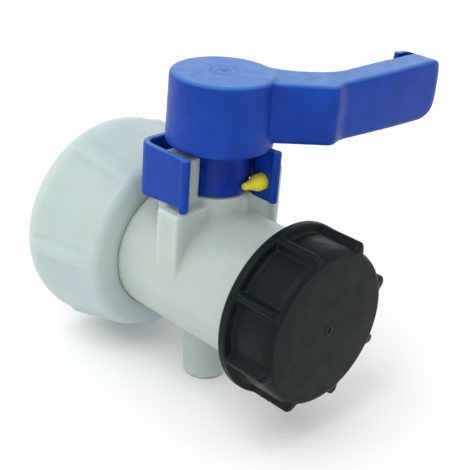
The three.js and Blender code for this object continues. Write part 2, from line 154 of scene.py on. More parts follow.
def resampled(points, spacing, closed=True):
    """The same outline with extra points, so that none lie further apart than the spacing."""
    line = np.vstack([points, points[:1]]) if closed else points
    step = np.linalg.norm(np.diff(line[:, :2], axis=0), axis=1)
    line = line[np.concatenate([[True], step > 1e-6])]
    length = np.concatenate([[0], np.cumsum(step[step > 1e-6])])
    even = np.arange(0, length[-1], spacing)
    at = np.unique(np.round(np.concatenate([length, even]), 4))
    at = at[at <= length[-1]]
    fine = np.stack([np.interp(at, length, column) for column in line.T], 1)
    return fine[:-1] if closed else fine


# ------------------------------------------------------------------ surfaces
def grid_shell(points, wrap_rows=False, wrap_columns=True, lids=False):
    """Quads over a grid of points, wrapped where asked, with the first and last row closed by a lid."""
    rows, columns = points.shape[:2]
    index = np.arange(rows * columns).reshape(rows, columns)
    lid_rows = [index[0][::-1].tolist(), index[-1].tolist()] if lids else []
    if wrap_rows:
        index = np.vstack([index, index[:1]])
    if wrap_columns:
        index = np.hstack([index, index[:, :1]])
    quads = np.stack([index[:-1, :-1], index[1:, :-1], index[1:, 1:], index[:-1, 1:]], -1)
    return points.reshape(-1, 3), quads.reshape(-1, 4).tolist() + lid_rows


def turned(profile, axis, centre, steps=96, relief=None, closed=True):
    """Surface of revolution: the profile point (along, radius) at angle a lies at
    centre + along * axis + radius * (cos a * second axis + sin a * third axis). A relief changes the
    radius as a function of along, angle, radius and the profile's further columns."""
    along = profile[:, 0, None]
    angle = np.linspace(0, 2 * np.pi, steps, endpoint=False)[None]
    radius = np.repeat(profile[:, 1, None], steps, 1)
    if relief is not None:
        radius = relief(along, angle, radius, profile[:, 2:, None])
    points = np.zeros((len(profile), steps, 3))
    points[..., axis] = along
    points[..., (axis + 1) % 3] = radius * np.cos(angle)
    points[..., (axis + 2) % 3] = radius * np.sin(angle)
    return grid_shell(points + np.array(centre, float), wrap_rows=closed)


def raised(outline, levels, inset, bottom=None):
    """Upright solid: a plan outline repeated at each level of height, drawn in along its own normal by
    the inset of that level. A bottom, a function of x and y, lifts the lower levels to meet it."""
    ahead = np.roll(outline, -1, 0) - np.roll(outline, 1, 0)
    normal = np.stack([ahead[:, 1], -ahead[:, 0]], 1)
    normal /= np.linalg.norm(normal, axis=1, keepdims=True)
    levels, inset = np.array(levels, float), np.array(inset, float)
    plan = outline[None] - normal[None] * inset[:, None, None]
    height = np.repeat(levels[:, None], len(outline), 1)
    if bottom is not None:
        floor = bottom(outline[None, :, 0], outline[None, :, 1])
        share = (height - levels[0]) / (levels[-1] - levels[0])
        height = floor + share * (levels[-1] - floor)
    return grid_shell(np.concatenate([plan, height[..., None]], 2), lids=True)


def strip(middle, section, lift=0):
    """A section of (across, height) points carried along a level path, square to it everywhere. A lift,
    one value for each point of the path, raises the section's lower edge and leaves its top in place."""
    ahead = np.gradient(middle, axis=0)
    ahead /= np.linalg.norm(ahead, axis=1, keepdims=True)
    side = np.stack([ahead[:, 1], -ahead[:, 0]], 1)
    plan = middle[:, None] + side[:, None] * section[None, :, :1]
    height = np.repeat(section[None, :, 1:], len(middle), 0)
    low, high = section[:, 1].min(), section[:, 1].max()
    height = height + np.reshape(lift, (-1, 1, 1)) * (high - height) / (high - low)
    return grid_shell(np.concatenate([plan, height], 2), lids=True)


def post(radius, low, high, x, y, edge=0.4, steps=48):
    """An upright round post with rounded edges, closed at both poles."""
    corners = [[low, 0], [low, radius], [high, radius], [high, 0]]
    return turned(rounded(corners, [0, edge, edge, 0]), Z_AXIS, (x, y, 0), steps, closed=False)


def slab(low, high, edge=0.5):
    """A rectangular block with softened upright edges."""
    plan = [[low[0], low[1]], [high[0], low[1]], [high[0], high[1]], [low[0], high[1]]]
    return raised(rounded(plan, max(edge, 0.05), 4), [low[2], high[2]], [0, 0])


# ------------------------------------------------------------------ threads and ribs
def thread_ridge(along, angle, start, pitch, root_half=1.5, crest_half=0.8):
    """Height, 0 to 1, of a trapezoid ridge that climbs one pitch for each turn about the axis."""
    phase = (along - start) / pitch - angle / (2 * np.pi)
    distance = np.abs(phase - np.round(phase)) * pitch
    return np.clip((root_half - distance) / (root_half - crest_half), 0, 1)


def rib_wave(angle, radius, count, phase, width, soft):
    """Height, 0 to 1, of evenly spaced ribs: a soft step on the distance to the nearest rib's middle."""
    spacing = 2 * np.pi / count
    offset = (angle - phase + spacing / 2) % spacing - spacing / 2
    edge = (np.abs(offset) * radius - width / 2) / soft
    return 1 / (1 + np.exp(np.clip(edge * 4, -30, 30)))


# ------------------------------------------------------------------ meshes
def make_object(name, *shells):
    """One object from closed shells, doubles merged and faces turned outwards, in metres."""
    mesh = bpy.data.meshes.new(name)
    vertices, faces, base = [], [], 0
    for points, polygons in shells:
        vertices.append(points * MM)
        faces += [[corner + base for corner in polygon] for polygon in polygons]
        base += len(points)
    mesh.from_pydata(np.concatenate(vertices), [], faces)
    work = bmesh.new()
    work.from_mesh(mesh)
    bmesh.ops.remove_doubles(work, verts=work.verts, dist=1e-7)
    bmesh.ops.recalc_face_normals(work, faces=work.faces)
    work.to_mesh(mesh)
    work.free()
    obj = bpy.data.objects.new(name, mesh)
    bpy.context.scene.collection.objects.link(obj)
    return obj


def settle(obj):
    """Replace the mesh with what its modifiers make of it."""
    graph = bpy.context.evaluated_depsgraph_get()
    mesh = bpy.data.meshes.new_from_object(obj.evaluated_get(graph))
    old = obj.data
    obj.modifiers.clear()
    obj.data = mesh
    bpy.data.meshes.remove(old)
    mesh.name = obj.name


def fuse(obj, voxel, rounds):
    """Melt overlapping shells into one skin and relax it, which leaves a fillet in every corner."""
    remesh = obj.modifiers.new("Fuse", "REMESH")
    remesh.mode = "VOXEL"
    remesh.voxel_size = voxel * MM
    relax = obj.modifiers.new("Relax", "SMOOTH")
    relax.factor = 0.5
    relax.iterations = rounds
    settle(obj)


def cut(obj, *shells):
    """Take closed shells away from an object, one after the other."""
    for shell in shells:
        cutter = make_object("cutter", shell)
        boolean = obj.modifiers.new("Cut", "BOOLEAN")
        boolean.operation = "DIFFERENCE"
        boolean.solver = "EXACT"
        boolean.object = cutter
        settle(obj)
        bpy.data.objects.remove(cutter)


def place(obj, body, slot, material, *nodes, sharp=40):
    """Shade, colour and seat a finished piece on its CAD body in place of the CAD nodes."""
    obj.data.shade_smooth()
    obj.data.set_sharp_from_angle(angle=math.radians(sharp))
    obj.data.materials.clear()
    obj.data.materials.append(material)
    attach(obj, body)
    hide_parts(*nodes)


# ------------------------------------------------------------------ finishes
class Nodes:
    """A short way to add and link shader nodes."""

    def __init__(self, name):
        self.material = bpy.data.materials.new(name)
        self.material.use_nodes = True
        self.tree = self.material.node_tree
        self.shader = self.tree.nodes["Principled BSDF"]
        coordinates = self.tree.nodes.new("ShaderNodeTexCoord")
        self.place = coordinates.outputs["Object"]
        self.facing = coordinates.outputs["Normal"]

    def add(self, kind, links=(), **values):
        node = self.tree.nodes.new("ShaderNode" + kind)
        for key, value in values.items():
            if key in node.inputs:
                node.inputs[key].default_value = value
            else:
                setattr(node, key, value)
        for socket, source in dict(links).items():
            self.tree.links.new(source, node.inputs[socket])
        return node

    def stretched(self, scale):
        return self.add("Mapping", {"Vector": self.place}, Scale=scale).outputs[0]

    def noise(self, scale, detail=3.0, vector=None, roughness=0.5):
        links = {"Vector": vector or self.place}
        return self.add("TexNoise", links, Scale=scale, Detail=detail, Roughness=roughness).outputs[0]

    def ramp(self, factor, low, high, start=0.35, end=0.65):
        node = self.add("ValToRGB", {"Fac": factor})
        node.color_ramp.elements[0].position = start
        node.color_ramp.elements[1].position = end
        node.color_ramp.elements[0].color = low
        node.color_ramp.elements[1].color = high
        return node.outputs[0]

    def span(self, value, low, high, start=0.3, end=0.7):
        links = {"Value": value}
        node = self.add("MapRange", links)
        for key, number in (("From Min", start), ("From Max", end), ("To Min", low), ("To Max", high)):
            node.inputs[key].default_value = number
        return node.outputs[0]

    def mix(self, factor, first, second, blend="MIX"):
        node = self.add("Mix", data_type="RGBA", blend_type=blend)
        for socket, value in ((0, factor), (6, first), (7, second)):
            if isinstance(value, bpy.types.NodeSocket):
                self.tree.links.new(value, node.inputs[socket])
            else:
                node.inputs[socket].default_value = value
        return node.outputs[2]

    def bump(self, height, strength, distance, normal=None):
        links = {"Height": height}
        if normal is not None:
            links["Normal"] = normal
        return self.add("Bump", links, Strength=strength, Distance=distance).outputs[0]

    def link(self, socket, source):
        self.tree.links.new(source, self.shader.inputs[socket])


def tinted(colour, factor):
    """The colour made lighter or darker by a factor."""
    return tuple(min(1.0, channel * factor) for channel in colour[:3]) + (1.0,)


def moulded_plastic(name, colour, roughness, grain, contrast=0.14, flow=(1, 1, 1), scuffs=0.25,
                    gloss=0.16, painted_top_light=None):
    """Injection-moulded plastic: clouded colour, streaks along the flow, uneven gloss, worn and paler
    edges, a fine spark-eroded grain, a slight waviness from cooling and, where asked, a painted highlight
    that makes upward-facing faces paler, as if lit from above."""
    n = Nodes(name)
    cloud = n.noise(55, 4.0)
    streak = n.noise(140, 3.0, n.stretched(flow))
    low, high = tinted(colour, 1 - contrast), tinted(colour, 1 + contrast)
    base = n.ramp(cloud, low, high)
    base = n.mix(n.span(streak, 0.0, 0.35), base, tinted(colour, 1 + 1.6 * contrast))
    edge = n.add("NewGeometry").outputs["Pointiness"]
    worn = n.add("Math", operation="MULTIPLY")
    n.tree.links.new(n.span(edge, 0.0, scuffs, 0.54, 0.62), worn.inputs[0])
    n.tree.links.new(n.span(n.noise(420, 4.0), 0.2, 1.0), worn.inputs[1])
    pale = tuple(0.6 * channel + 0.4 * 0.75 for channel in colour[:3]) + (1.0,)
    base = n.mix(worn.outputs[0], base, pale)
    # Painted highlight: faces turned upwards get a paler colour, standing in for light falling from above.
    if painted_top_light is not None:
        level = n.add("SeparateXYZ", {"Vector": n.facing}).outputs["Z"]
        base = n.mix(n.span(level, 0.0, 0.75, 0.35, 0.95), base, (*painted_top_light, 1.0))
    n.link("Base Color", base)
    n.link("Roughness", n.span(n.noise(170, 5.0), roughness - 0.07, roughness + 0.09))
    grainy = n.bump(n.noise(5200, 2.0), grain, 0.00006)
    wavy = n.bump(n.noise(75, 2.0), 0.12, 0.0008, grainy)
    n.link("Normal", wavy)
    n.shader.inputs["Specular IOR Level"].default_value = gloss
    return n.material


def natural_polyethylene(name, colour, cloud_scale=38.0):
    """Uncoloured polyethylene: light soaks in and comes out milky; cool and warm clouds, faint flow
    lines along the pipe, satin skin with shallow sinks."""
    n = Nodes(name)
    cool, warm = tinted(colour, 0.97), (colour[0] * 1.04, colour[1] * 1.03, colour[2] * 0.96, 1.0)
    base = n.ramp(n.noise(cloud_scale, 4.0), cool, warm)
    lines = n.noise(90, 5.0, n.stretched((0.25, 1.0, 1.6)))
    base = n.mix(n.span(lines, 0.0, 0.3, 0.42, 0.62), base, tinted(colour, 1.09))
    specks = n.span(n.noise(900, 1.0), 0.0, 0.25, 0.74, 0.8)
    n.link("Base Color", n.mix(specks, base, tinted(colour, 0.8)))
    n.link("Roughness", n.span(n.noise(120, 4.0), 0.36, 0.52))
    fine = n.bump(n.noise(3200, 2.0), 0.16, 0.00006)
    n.link("Normal", n.bump(n.noise(60, 2.0), 0.22, 0.0012, fine))
    n.shader.inputs["Subsurface Weight"].default_value = 0.75
    n.shader.inputs["Subsurface Radius"].default_value = (1.0, 1.0, 0.9)
    n.shader.inputs["Subsurface Scale"].default_value = 0.011
    n.shader.inputs["IOR"].default_value = 1.52
    return n.material


def rubber(name, colour):
    """Sealing rubber: dull, dusted, with a fine matt grain."""
    n = Nodes(name)
    dust = n.span(n.noise(320, 5.0), 0.0, 0.5, 0.45, 0.75)
    n.link("Base Color", n.mix(dust, tinted(colour, 0.85), tinted(colour, 1.9)))
    n.link("Roughness", n.span(n.noise(200, 4.0), 0.7, 0.9))
    n.link("Normal", n.bump(n.noise(2600, 3.0), 0.35, 0.0001))
    return n.material


def drawn_steel(name, colour):
    """Stainless steel: turning marks round the axis and a little unevenness in its gloss."""
    n = Nodes(name)
    marks = n.noise(600, 3.0, n.stretched((0.2, 0.2, 6.0)))
    n.link("Base Color", n.ramp(marks, tinted(colour, 0.85), tinted(colour, 1.1)))
    n.link("Roughness", n.span(marks, 0.22, 0.4))
    n.link("Normal", n.bump(marks, 0.15, 0.00005))
    n.shader.inputs["Metallic"].default_value = 1.0
    return n.material


# ------------------------------------------------------------------ settings
def length(name, text, default):
    """A length setting, given in millimetres."""
    return FloatProperty(name=name, description=text, default=default * MM, unit="LENGTH", precision=5)


def colour(name, text, default):
    """An opaque colour setting."""
    kind = {"subtype": "COLOR", "size": 4, "min": 0.0, "max": 1.0}
    return FloatVectorProperty(name=name, description=text, default=(*default, 1.0), **kind)


def mm(value):
    """A setting in millimetres."""
    return value / MM


class ValveShape(PropertyGroup):
    """Sizes of the moulded pieces that their boxes in the frame don't give."""

    bore: length("Bore radius", "Radius of the pipe's bore", 24.0)
    barrel: length("Barrel radius", "Outer radius of the pipe", 29.1)
    outlet: length("Outlet radius", "Radius at the root of the outlet's thread", 27.8)
    pitch: length("Thread pitch", "Rise of both threads in one turn", 6.0)
    thread: length("Thread depth", "Height of both thread ridges", 1.8)
    neck: length("Neck radius", "Radius of the neck under the collar", 13.8)
    boss: length("Boss radius", "Radius of the bearing boss below the pipe", 9.7)
    hub_edge: length("Hub edge", "Rounding of the hub's upper edge", 2.0)
    clip_thickness: length("Clip thickness", "Wall of the lock clip", 2.9)
    cap_wall: length("Cap wall radius", "Outer radius of the cap between its ribs", 33.4)
    cap_rib: length("Cap rib width", "Width of one grip rib on the cap", 3.8)
    nut_rib: length("Nut rib width", "Width of one low rib on the union nut", 6.5)
    cap_ribs: IntProperty(name="Cap ribs", description="Grip ribs round the cap", default=8, min=4)
    nut_ribs: IntProperty(name="Nut ribs", description="Low ribs round the nut", default=6, min=3)


class ValveFinish(PropertyGroup):
    """Colours of the plastics."""

    natural: colour("Natural", "Uncoloured polyethylene", (0.415, 0.485, 0.465))
    cool_natural: colour("Cool natural", "Uncoloured polyethylene of the nut", (0.415, 0.505, 0.52))
    blue: colour("Blue", "Handle and clip", (0.002, 0.040, 0.305))
    # Painted highlight: the paler colour given to upward-facing faces of the blue plastic, as if lit from
    # above.
    painted_top_light: colour("Painted top light", "Level faces of the blue plastic", (0.045, 0.185, 0.50))
    dark_blue: colour("Dark blue", "Collar under the handle", (0.002, 0.024, 0.24))
    black: colour("Black", "Outlet cap", (0.003, 0.007, 0.008))
    yellow: colour("Yellow", "Safety pin", (0.70, 0.62, 0.03))
    rubber: colour("Rubber", "Seals", (0.013, 0.013, 0.014))
    steel: colour("Steel", "Screw, washer and pin", (0.55, 0.56, 0.57))
    bearing: colour("Bearing", "Bushes and thrust washer", (0.74, 0.72, 0.66))
    nylon: colour("Nylon", "Stem", (0.045, 0.048, 0.052))


class ValveStage(PropertyGroup):
    """Camera, floor and lights."""

    camera: FloatVectorProperty(
        name="Camera", description="Where the camera stands", subtype="TRANSLATION", unit="LENGTH",
        default=(0.35619, -0.28790, 0.21296), precision=5,
    )
    azimuth: FloatProperty(
        name="Azimuth", description="Direction from the object to the camera, from +X towards +Y",
        default=-0.813, subtype="ANGLE", unit="ROTATION",
    )
    elevation: FloatProperty(
        name="Elevation", description="Camera's height above the horizon",
        default=0.453, subtype="ANGLE", unit="ROTATION",
    )
    roll: FloatProperty(
        name="Roll", description="Tilt of the camera about its own axis",
        default=0.079, subtype="ANGLE", unit="ROTATION",
    )
    lens: FloatProperty(name="Lens", description="Focal length", default=81.46, unit="CAMERA")
    ambient: FloatProperty(name="Ambient", description="Strength of the white surroundings", default=0.95)
    key: FloatProperty(name="Key", description="Power of the large soft light", default=2.6, unit="POWER")
    fill: FloatProperty(name="Fill", description="Power of the side light", default=0.6, unit="POWER")
    sheen: FloatProperty(name="Sheen", description="Power of the light behind", default=1.3, unit="POWER")
    shadows: BoolProperty(name="Floor", description="Lay a pale floor under the valve", default=True)


# ------------------------------------------------------------------ body
def body_barrel(shape):
    """Flange, barrel and threaded outlet as one turned profile; the thread is a relief on its radius."""
    low, high = BODY_LOW[0], BODY_HIGH[0]
    barrel, outlet = mm(shape.barrel), mm(shape.outlet)
    flange_end = low + INLET_FLANGE
    shoulder = CAP_LOW[0]
    pitch = mm(shape.pitch)
    profile = rounded(
        [
            [low, 0, 0], [low, FLANGE_R, 0], [flange_end, FLANGE_R, 0], [flange_end, barrel, 0],
            [shoulder - 1.4, barrel, 0], [shoulder, outlet, 0], [shoulder + 2.4, outlet, 0],
            [shoulder + 3.4, outlet, 1], [high - 2.6, outlet, 1], [high - 1.8, outlet, 0],
            [high, outlet, 0], [high, 0, 0],
        ],
        [0, 0.8, 0.8, 2.0, 1, 1, 0, 0, 0, 0, 0.8, 0],
    )

    def relief(along, angle, radius, weights):
        """The radius plus the thread's depth times its ridge and weight."""
        ridge = thread_ridge(along, angle, shoulder + 4.2, pitch)
        return radius + mm(shape.thread) * ridge * weights[:, 0]

    fine = resampled(profile, 0.5, closed=False)
    return turned(fine, X_AXIS, (0, 0, 0), 200, relief, closed=False)


def body_tower(shape):
    """C-shaped housing, its left jaw, neck, web, ear and bearing boss, each a closed shell sunk into
    the barrel: level plans repeated upwards, and profiles turned about the stem."""
    barrel = mm(shape.barrel)
    housing_half = CLIP_HIGH[1] - mm(shape.clip_thickness) - 2 * SEAT
    top, root = BODY_HIGH[2], 10  # the root lies inside the barrel's wall
    front, back = HOUSING_FRONT, HOUSING_BACK
    plan = rounded(
        [[front, -housing_half], [front, housing_half], [back, housing_half], [back, -housing_half]],
        [0.8, 0.8, 4.2, 4.2], 8,
    )
    housing = raised(resampled(plan, 1.5), [6, top - 0.8, top - 0.2, top], [0, 0, 0.25, 0.9])
    neck = turned(
        rounded([[root, 0], [root, mm(shape.neck)], [NECK_TOP, mm(shape.neck)], [NECK_TOP, 0]],
                [0, 0, 0.7, 0]),
        Z_AXIS, (STEM_X, 0, 0), 96, closed=False,
    )
    web = slab((WEB_BACK, -barrel, -2), (WEB_FRONT, barrel, WEB_TOP), 1.0)
    ear = slab((WEB_BACK, CLIP_HIGH[1] + SEAT, root), (PIN_LOW[0] - RUNNING, barrel, EAR_TOP), 0.8)
    jaw = slab((60, -housing_half, root), (JAW_FRONT, -COLLAR_R, top - 0.4), 0.8)
    boss_r = mm(shape.boss)
    boss = turned(
        rounded([[BODY_LOW[2], 0], [BODY_LOW[2], boss_r - 0.2], [-root, boss_r + 0.4], [-root, 0]],
                [0, 1.0, 0, 0]),
        Z_AXIS, (STEM_X, 0, 0), 72, closed=False,
    )
    return housing, jaw, neck, web, ear, boss


class VALVE_OT_body(Operator):
    """Moulded valve body: pipe, flange, outlet thread, neck, housing and bearing boss."""

    bl_idname = "valve.body"
    bl_label = "Valve body"

    def execute(self, context):
        shape, finish = context.scene.valve_shape, context.scene.valve_finish
        housing, jaw, neck, web, ear, boss = body_tower(shape)
        tower = make_object("tower", housing)
        side = make_object("side", jaw)
        mouth, above = COLLAR_R + RUNNING, BODY_HIGH[2] + 4
        for piece in (tower, side):
            cut(
                piece,
                post(mouth, NECK_TOP, above, STEM_X, 0, edge=0),
                slab((STEM_X, -mouth, NECK_TOP), (STEM_X + 20, mouth, above), 0),
            )
        body = make_object("valve_body_shell", body_barrel(shape), neck, web, ear, boss)
        joined = bmesh.new()
        for piece in (body, tower, side):
            joined.from_mesh(piece.data)
        joined.to_mesh(body.data)
        joined.free()
        bpy.data.objects.remove(tower)
        bpy.data.objects.remove(side)
        fuse(body, 0.7, 7)
        bore = rounded([[BODY_LOW[0] - 2, 0], [BODY_LOW[0] - 2, mm(shape.bore)],
                        [BODY_HIGH[0] + 2, mm(shape.bore)], [BODY_HIGH[0] + 2, 0]], 0, 2)
        bush_r = (BUSH_HIGH[0] - BUSH_LOW[0]) / 2 + SEAT
        cut(
            body,
            turned(bore, X_AXIS, (0, 0, 0), 128, closed=False),
            post(PASSAGE_R, THRUST_LOW[2] - SEAT, BODY_HIGH[2], STEM_X, 0, edge=0),
            post(bush_r, BUSH_LOW[2] - SEAT, BODY_HIGH[2], STEM_X, 0, edge=0),
        )
        material = natural_polyethylene("natural polyethylene body", finish.natural)
        place(body, "valve", "natural_polyethylene", material, "valve_body")
        return {"FINISHED"}


# ------------------------------------------------------------------ union nut
class VALVE_OT_union_nut(Operator):
    """Flared union nut with low ribs outside and a coarse thread inside."""

    bl_idname = "valve.union_nut"
    bl_label = "Union nut"

    def execute(self, context):
        shape, finish = context.scene.valve_shape, context.scene.valve_finish
        end = NUT_HIGH[0]
        wall_end = end - 6.6
        bore, hole = FLANGE_R + RUNNING, mm(shape.barrel) + 0.2
        root = FLANGE_R + 4  # the thread's root
        seat_x = BODY_LOW[0] - 4
        # Each row: along, radius, weight of the ribs, weight of the thread.
        outline = rounded(
            [
                [0, 43.3, 0, 0], [2, 46.0, 0, 0], [8, 47.8, 1, 0], [16, 46.1, 1, 0], [24, 44.0, 1, 0],
                [32, 42.3, 1, 0], [41.6, 41.0, 0, 0], [end, 32.6, 0, 0],
                [end, hole, 0, 0], [wall_end, hole, 0, 0], [wall_end, bore, 0, 0],
                [seat_x + 2, bore, 0, 0], [seat_x, root, 0, 0], [seat_x - 3, root, 0, 1],
                [4, root, 0, 1], [1.6, root, 0, 0],
                [0, root + 1.2, 0, 0],
            ],
            [0.6, 2, 5, 4, 4, 4, 4.4, 2, 0.4, 0.6, 0.4, 0.8, 0.8, 0, 0, 0.4, 0.5],
        )
        rise, width = NUT_HIGH[1] - 47.8, mm(shape.nut_rib)

        def relief(along, angle, radius, weights):
            """The radius plus the low ribs outside, less the thread's ridge inside."""
            ribs = rib_wave(angle, radius, shape.nut_ribs, 0.0, width, 2.2)
            ridge = thread_ridge(along, angle, 4.0, mm(shape.pitch))
            return radius + rise * ribs * weights[:, 0] - mm(shape.thread) * ridge * weights[:, 1]

        nut = make_object(
            "union_nut_shell", turned(resampled(outline, 0.7), X_AXIS, (0, 0, 0), 300, relief)
        )
        material = natural_polyethylene("natural polyethylene nut", finish.cool_natural, 30.0)
        place(nut, "nut", "natural_polyethylene_nut", material, "union_nut", sharp=60)
        return {"FINISHED"}


# ------------------------------------------------------------------ handle
def block_point(along, across, heading=math.radians(48)):
    """A plan point given along the lever block's own direction and across it."""
    c, s = math.cos(heading), math.sin(heading)
    return [STEM_X + along * c - across * s, along * s + across * c]


def lever_outline():
    """Plan of the lever: block, grip and the hook at its tip, with the flare where the block leaves
    the hub."""
    face, tip = HANDLE_HIGH[0], HANDLE_HIGH[1]
    inner, hook = GRIP_INNER, HOOK_INNER
    corners = [
        block_point(9, BLOCK_FRONT), block_point(44.8, BLOCK_FRONT), [face - 0.9, 34.4], [face + 0.4, 66],
        [face, tip - 5], [face - 4, tip], [hook + 4.5, tip], [hook, tip - 5], [hook, HOOK_START],
        [hook + 3.2, HOOK_START], [hook + 3.4, tip - 4.4],
        [inner + 0.6, tip - 4.4], [inner, 41], block_point(30, BLOCK_REAR), block_point(21, 11.0),
        block_point(12.5, 18.0),
    ]
    radii = [0, 2.4, 1.8, 20, 5, 4, 3, 3, 1.5, 1.5, 1.6, 1.6, 9, 9, 4, 0]
    return resampled(rounded(corners, radii, 10), 0.8)


def lever_underside(x, y):
    """Height of the lever's underside: level under the block, lower along the grip, and rising in a
    curve at the tip."""
    along_grip = np.clip((y - 38) / 48, 0, 1)
    at_tip = np.clip((y - 87) / (HANDLE_HIGH[1] - 87), 0, 1)
    return LEVER_BOTTOM - 1.5 * along_grip + 9.0 * at_tip**2


def droop_tip(obj, start, middle, depth):
    """Lower the lever's upper half at its tip by depth * t^3 * u: t runs from 0 at the start to 1 at the
    tip along Y, and u from 0 at the middle to 1 at the top."""
    vertices = obj.data.vertices
    points = np.empty(len(vertices) * 3)
    vertices.foreach_get("co", points)
    points = points.reshape(-1, 3) / MM
    t = np.clip((points[:, 1] - start) / (HANDLE_HIGH[1] - start), 0, 1)
    u = np.clip((points[:, 2] - middle) / (HANDLE_HIGH[2] - middle), 0, 1)
    points[:, 2] -= depth * t**3 * u
    vertices.foreach_set("co", (points * MM).ravel())


class VALVE_OT_handle(Operator):
    """Handle: round hub, hooked lever, the dark collar beneath it and the plug over its screw."""

    bl_idname = "valve.handle"
    bl_label = "Handle"

    def execute(self, context):
        shape, finish = context.scene.valve_shape, context.scene.valve_finish
        low, top = HANDLE_LOW[2], HANDLE_HIGH[2]
        centre = (STEM_X, 0, 0)
        hub = turned(
            resampled(rounded([[low, 0], [low, HUB_R], [top, HUB_R - 0.5], [top, 0]],
                              [0, 0.6, mm(shape.hub_edge), 0], 8), 1.0, closed=False),
            Z_AXIS, centre, 160, closed=False,
        )
        lower = [LEVER_BOTTOM, 61.5, 62.4, 67, 73.6, 80]
        heights = [*lower, LEVER_TOP - 1.3, LEVER_TOP - 0.4, LEVER_TOP]
        inset = [1.5, 0.6, 0.05, -0.25, -0.35, -0.25, 0.1, 0.6, 1.5]
        lever = raised(lever_outline(), heights, inset, lever_underside)
        handle = make_object("handle_shell", hub, lever)
        fuse(handle, 0.6, 4)
        droop_tip(handle, 88.0, 66.0, 4.0)
        wall, ring_top = 3.0, top - 4.6
        hollow = rounded([[low - 2, COLLAR_R + wall], [low - 2, HUB_R - wall], [ring_top, HUB_R - wall],
                          [ring_top, COLLAR_R + wall]], 0, 2)
        square = 4.2 + SEAT  # half the width of the stem's square head, with its clearance
        screw_bore = (corners_of("handle_washer")[1][0] - STEM_X) + SEAT
        plug_r = PLUG_HIGH[0] - STEM_X
        socket_top = corners_of("handle_washer")[0][2] - SEAT
        cut(
            handle,
            turned(hollow, Z_AXIS, centre, 96),
            post(COLLAR_R + SEAT, low - 2, COLLAR_HIGH[2] + SEAT, STEM_X, 0, edge=0, steps=96),
            slab((STEM_X - square, -square, COLLAR_HIGH[2] - 1),
                 (STEM_X + square, square, socket_top + 1), 0.3),
            post(screw_bore, socket_top, top + 2, STEM_X, 0, edge=0),
            post(plug_r + 0.1, PLUG_LOW[2] - 0.1, top + 2, STEM_X, 0, edge=0),
        )
        # The handle's blue plastic gets a painted highlight on upward-facing faces.
        blue = moulded_plastic("blue plastic handle", finish.blue, 0.36, 0.22, painted_top_light=finish.painted_top_light[:3])
        place(handle, "lever", "handle_blue", blue, "handle")

        stem_hole = corners_of("stem")[1][0] - STEM_X + SEAT
        collar = turned(
            rounded([[COLLAR_LOW[2], stem_hole], [COLLAR_LOW[2], COLLAR_R], [COLLAR_HIGH[2], COLLAR_R],
                     [COLLAR_HIGH[2], stem_hole]], [0.4, 0.9, 0.5, 0.4]),
            Z_AXIS, centre, 128,
        )
        dark = moulded_plastic("dark blue plastic", finish.dark_blue, 0.3, 0.15, flow=(1, 1, 0.2),
                               scuffs=0)
        place(make_object("collar_ring", collar), "lever", "collar_dark_blue", dark, "handle_collar")

        plug = turned(
            rounded([[PLUG_LOW[2], 0], [PLUG_LOW[2], plug_r], [top, plug_r], [top, 3.9],
                     [top + 0.12, 3.6], [top + 0.12, 3.1], [top - 0.1, 2.8], [top - 0.1, 1.3],
                     [top - 0.35, 0.9], [top - 0.35, 0]], [0, 0.3, 0.15, 0.2, 0.1, 0.1, 0.2, 0.2, 0.2, 0]),
            Z_AXIS, centre, 64, closed=False,
        )
        place(make_object("plug_disc", plug), "lever", "handle_blue", blue, "hub_plug")
        return {"FINISHED"}


# ------------------------------------------------------------------ lock clip and safety pin
def clip_middle(thickness, bead):
    """Plan of the clip's middle line: left arm, round back, right arm and its inward step."""
    back = CLIP_LOW[0] + thickness / 2
    arm = CLIP_HIGH[1] - thickness / 2
    end, inner = CLIP_HIGH[0] - bead, PIN_HIGH[1] - PIN_FLANGE - SEAT - thickness / 2
    step_start, step_end = STEM_X + 2.2, STEM_X + 9.6
    line = [[STEM_X + 6.4, -arm], [back, -arm], [back, arm], [step_start, arm], [step_end, inner],
            [end, inner]]
    return resampled(rounded(line, [0, 6.5, 6.5, 2.4, 2.4, 0], 10), 0.8, closed=False)


class VALVE_OT_clip(Operator):
    """Snap-on lock clip with a bead down each end and a hole for the safety pin."""

    bl_idname = "valve.clip"
    bl_label = "Lock clip"

    def execute(self, context):
        shape, finish = context.scene.valve_shape, context.scene.valve_finish
        thickness = mm(shape.clip_thickness)
        half, top, bottom = thickness / 2, CLIP_HIGH[2], CLIP_LOW[2]
        bead = 2.0
        middle = clip_middle(thickness, bead)
        section = rounded([[-half, bottom], [half, bottom], [half, top], [-half, top]], 0.7, 5)
        lift = 1.8 * np.clip((middle[:, 0] - 56) / 20, 0, 1) * (middle[:, 1] < 0)
        left = post(bead, bottom, top, middle[0][0] + 0.6, middle[0][1], 0.8, 32)
        right = post(bead, bottom, top, middle[-1][0], middle[-1][1], 0.8, 32)
        clip = make_object("lock_clip_shell", strip(middle, section, lift), left, right)
        fuse(clip, 0.45, 3)
        pin_x, pin_z = (PIN_LOW[0] + PIN_HIGH[0]) / 2, (PIN_LOW[2] + PIN_HIGH[2]) / 2
        hole_r = (PIN_HIGH[0] - PIN_LOW[0]) / 2 - PIN_SHANK + SEAT
        hole = rounded([[6, 0], [6, hole_r], [19, hole_r], [19, 0]], 0, 2)
        cut(clip, turned(hole, Y_AXIS, (pin_x, 0, pin_z), 48, closed=False))
        # The clip's blue plastic gets a painted highlight on upward-facing faces.
        blue = moulded_plastic("blue plastic clip", finish.blue, 0.38, 0.2, contrast=0.1,
                                painted_top_light=finish.painted_top_light[:3])
        place(clip, "valve", "clip_blue", blue, "lock_clip")
        return {"FINISHED"}


